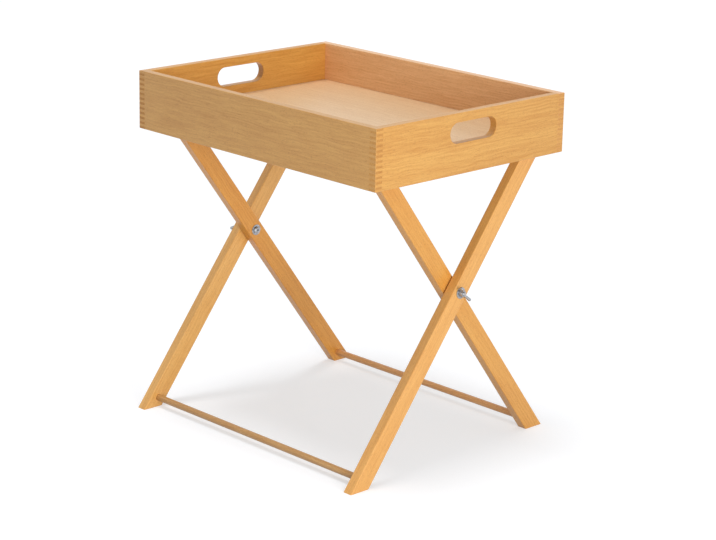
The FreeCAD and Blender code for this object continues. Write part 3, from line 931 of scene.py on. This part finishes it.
# %% [markdown]
# ## The wing nuts
# A wing nut is cast in one: a round hub and two ears with round tips, with soft hollows where they meet.
# Subdivision could round it from a cage of few faces. Here the hub and the ears are modelled as they are
# and overlapped, the Remesh modifier melts them into one skin, and Smooth rounds the skin as casting does.

# %% Model the hub
HUB_SIDES = 48
HUB_TAPER = 0.84
HUB_RADIUS = 6 * MILLIMETRE
HUB_HEIGHT = 7 * MILLIMETRE
nut_low, nut_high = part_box("wing_nut_right")
hub_end = nut_low.x + HUB_HEIGHT
hub = axle_bar("right_wing_nut", nut_low.x, hub_end, HUB_RADIUS, HUB_SIDES)
edit(hub, "FACE")
pick(hub, "faces", lambda face: face.normal.x > SQUARE_ON)
bpy.ops.transform.resize(value=(1, HUB_TAPER, HUB_TAPER), center_override=(hub_end, 0, 0))
for way, reach in ((-1, HUB_RADIUS), (1, HUB_RADIUS * HUB_TAPER)):
    pick(hub, "faces", lambda face: face.normal.x * way > SQUARE_ON)
    bpy.ops.mesh.inset(thickness=reach - BORE_RADIUS)
pick(hub, "faces", lambda face: abs(face.normal.x) > SQUARE_ON and len(face.verts) == HUB_SIDES)
bpy.ops.mesh.bridge_edge_loops()

# %% Pull an ear out of its root
EAR_FOOT = 1.2 * MILLIMETRE
EAR_ROOT = 4.3 * MILLIMETRE
ROOT_HEIGHT = 1 * MILLIMETRE
EAR_THICK = 3.4 * MILLIMETRE
EAR_THIN = 0.82
EAR_REACH = 18 * MILLIMETRE
TIP_RADIUS = 4.8 * MILLIMETRE
TIP_MIDDLE = Vector((nut_high.x - TIP_RADIUS, 0, EAR_REACH - TIP_RADIUS))
root_low = Vector((nut_low.x + EAR_FOOT, -EAR_THICK / 2, EAR_ROOT - ROOT_HEIGHT))
root_high = Vector((hub_end, EAR_THICK / 2, EAR_ROOT))
ear = block("upper_ear", root_low, root_high)
root_top = Vector(((root_low.x + root_high.x) / 2, 0, root_high.z))
lean = (TIP_MIDDLE - root_top).normalized()
tip_end = TIP_MIDDLE + lean * TIP_RADIUS
widen = 2 * TIP_RADIUS / (root_high.x - root_low.x)
edit(ear, "FACE")
pick(ear, "faces", lambda face: face.normal.z > SQUARE_ON)
bpy.ops.mesh.extrude_region_move(TRANSFORM_OT_translate={"value": tip_end - root_top})
bpy.ops.transform.resize(value=(widen, EAR_THIN, 1), center_override=tip_end)

# %% Lean the tip of the ear and round it
TIP_MARGIN = 1.2
TIP_ROUNDING = 0.97 * TIP_RADIUS
TIP_STEPS = 8
mesh = bmesh.from_edit_mesh(ear.data)
tilt = Matrix.Rotation(math.atan2(lean.x, lean.z), 3, "Y")
for vert in mesh.verts:
    if vert.select:
        vert.co = tip_end + tilt @ (vert.co - tip_end)
bmesh.update_edit_mesh(ear.data)


def is_tip_edge(edge):
    """True for the two edges across the end of the ear."""
    at_tip = all((vert.co - tip_end).length < TIP_RADIUS * TIP_MARGIN for vert in edge.verts)
    return at_tip and abs(edge.verts[0].co.y - edge.verts[1].co.y) > MILLIMETRE


print("tip edges:", round_edges(ear, is_tip_edge, TIP_ROUNDING, TIP_STEPS))

# %% Melt the nut into one skin
VOXEL = 0.22 * MILLIMETRE
SMOOTH_SHARE = 0.5
SMOOTH_ROUNDS = 6
lower_ear = copy_of(ear, "lower_ear", scale=(1, 1, -1))
take_up(hub)
for joined in (ear, lower_ear):
    joined.select_set(True)
bpy.ops.object.join()
right_nut = bpy.context.object
apply_modifier(right_nut, "REMESH", mode="VOXEL", voxel_size=VOXEL, use_smooth_shade=True)
apply_modifier(right_nut, "SMOOTH", factor=SMOOTH_SHARE, iterations=SMOOTH_ROUNDS)

# %% Put the nuts in place
EAR_TURNS = {"right": math.radians(41), "left": math.radians(112)}
left_nut = copy_of(right_nut, "left_wing_nut", move=UP_TO_PIVOT, turn=(-EAR_TURNS["left"], 0, math.pi))
take_up(right_nut)
right_nut.location = UP_TO_PIVOT
right_nut.rotation_euler = (EAR_TURNS["right"], 0, 0)
settle(right_nut, right_nut.name)
hand_over(right_nut, "wing_nut_right", steel_finish)
hand_over(left_nut, "wing_nut_left", steel_finish)

# %% [markdown]
# ## The stage
# The table stands on a plain pale floor in soft studio light. A wide lamp high above, a little in front,
# gives the soft shadow under the tray, and a second one stands low on the right, so that its light gets in
# under the tray and reaches the legs on the far side. Both are sun lamps, which light near and far alike,
# and a wide angle gives them soft shadows. They are kept out of reflections, because a sun seen along a
# lacquered edge is a hard white line. A softbox, which is an area lamp, stands close to the near right
# corner. Its light fades with distance, so that corner is the brightest. The rest of the light comes evenly
# from the world. The floor and the world look white to the camera, in reflections and through glass, and
# are darker to all other light, so that they don't flood the table.

# %% Tell the rays that see the background from other light
WHITE = (1, 1, 1, 1)


def seen_rays(tree):
    """A mask of the rays that show the background: straight ones, reflections and what glass lets through."""
    path = add_node(tree, "ShaderNodeLightPath", {})
    mask = reckon(tree, "MAXIMUM", path.outputs["Is Camera Ray"], path.outputs["Is Glossy Ray"])
    return reckon(tree, "MAXIMUM", mask, path.outputs["Is Transmission Ray"])


def split_rays(tree, lighting, seen, output):
    """Use one shader for the light that a surface gives, and another for how it is seen."""
    inputs = {0: seen_rays(tree), 1: lighting.outputs[0], 2: seen.outputs[0]}
    mix = add_node(tree, "ShaderNodeMixShader", inputs)
    tree.links.new(mix.outputs[0], tree.nodes[output].inputs["Surface"])


# %% Floor
FLOOR_SIDES = 64
FLOOR_RADIUS = 30
FLOOR_GREY = (0.55, 0.55, 0.55, 1)
FLOOR_ROUGHNESS = 0.9
FLOOR_SEEN = (0.56, 0.58, 0.61, 1)
FLOOR_GLOW = 0.5
put_down()
bpy.ops.mesh.primitive_circle_add(
    vertices=FLOOR_SIDES, radius=FLOOR_RADIUS, fill_type="NGON", location=(0, 0, 0))
ground = settle(bpy.context.object, "studio_floor")
floor_finish, tree, shader = start_material("studio_floor")
shader.inputs["Base Color"].default_value = FLOOR_GREY
shader.inputs["Roughness"].default_value = FLOOR_ROUGHNESS
shader.inputs["Specular IOR Level"].default_value = 0
shaded = add_node(tree, "ShaderNodeBsdfDiffuse", {"Color": FLOOR_SEEN})
glow = add_node(tree, "ShaderNodeEmission", {"Color": WHITE, "Strength": FLOOR_GLOW})
both = add_node(tree, "ShaderNodeAddShader", {0: shaded.outputs[0], 1: glow.outputs[0]})
split_rays(tree, shader, both, "Material Output")
give_finish(ground, floor_finish)
print("floor:", FLOOR_RADIUS, "m all round")

# %% World
WORLD_LEVEL = 0.44
WHITE_LEVEL = 1
world = bpy.data.worlds.new("studio")
bpy.context.scene.world = world
world.use_nodes = True
tree = world.node_tree
soft = add_node(tree, "ShaderNodeBackground", {"Color": WHITE, "Strength": WORLD_LEVEL})
white = add_node(tree, "ShaderNodeBackground", {"Color": WHITE, "Strength": WHITE_LEVEL})
split_rays(tree, soft, white, "World Output")
print("world:", WORLD_LEVEL)


# %% Wide lamps
def wide_lamp(name, towards, energy, spread):
    """A sun lamp that shines from a direction, with soft shadows."""
    lamp = bpy.data.objects.new(name, bpy.data.lights.new(name, "SUN"))
    lamp.data.energy = energy
    lamp.data.angle = math.radians(spread)
    lamp.rotation_euler = Vector(towards).to_track_quat("Z", "Y").to_euler()
    lamp.visible_glossy = False
    bpy.context.scene.collection.objects.link(lamp)
    print(name, energy, "W per square metre")


wide_lamp("overhead_lamp", towards=(-0.09, -0.06, 1), energy=1.4, spread=23)
wide_lamp("side_lamp", towards=(0.965, -0.25, 0.08), energy=1.75, spread=25)

# %% A softbox near the right corner
SOFTBOX_PLACE = Vector((1.5, -0.8, 0.45))
SOFTBOX_AIM = Vector((0.1, -0.1, 0.4))
SOFTBOX_SIZE = 0.9
SOFTBOX_POWER = 7.5
softbox = bpy.data.objects.new("softbox", bpy.data.lights.new("softbox", "AREA"))
softbox.data.shape = "DISK"
softbox.data.size = SOFTBOX_SIZE
softbox.data.energy = SOFTBOX_POWER
softbox.location = SOFTBOX_PLACE
softbox.rotation_euler = (SOFTBOX_PLACE - SOFTBOX_AIM).to_track_quat("Z", "Y").to_euler()
bpy.context.scene.collection.objects.link(softbox)
bpy.context.scene.view_settings.view_transform = "Standard"
print("softbox:", softbox.data.energy, "W")
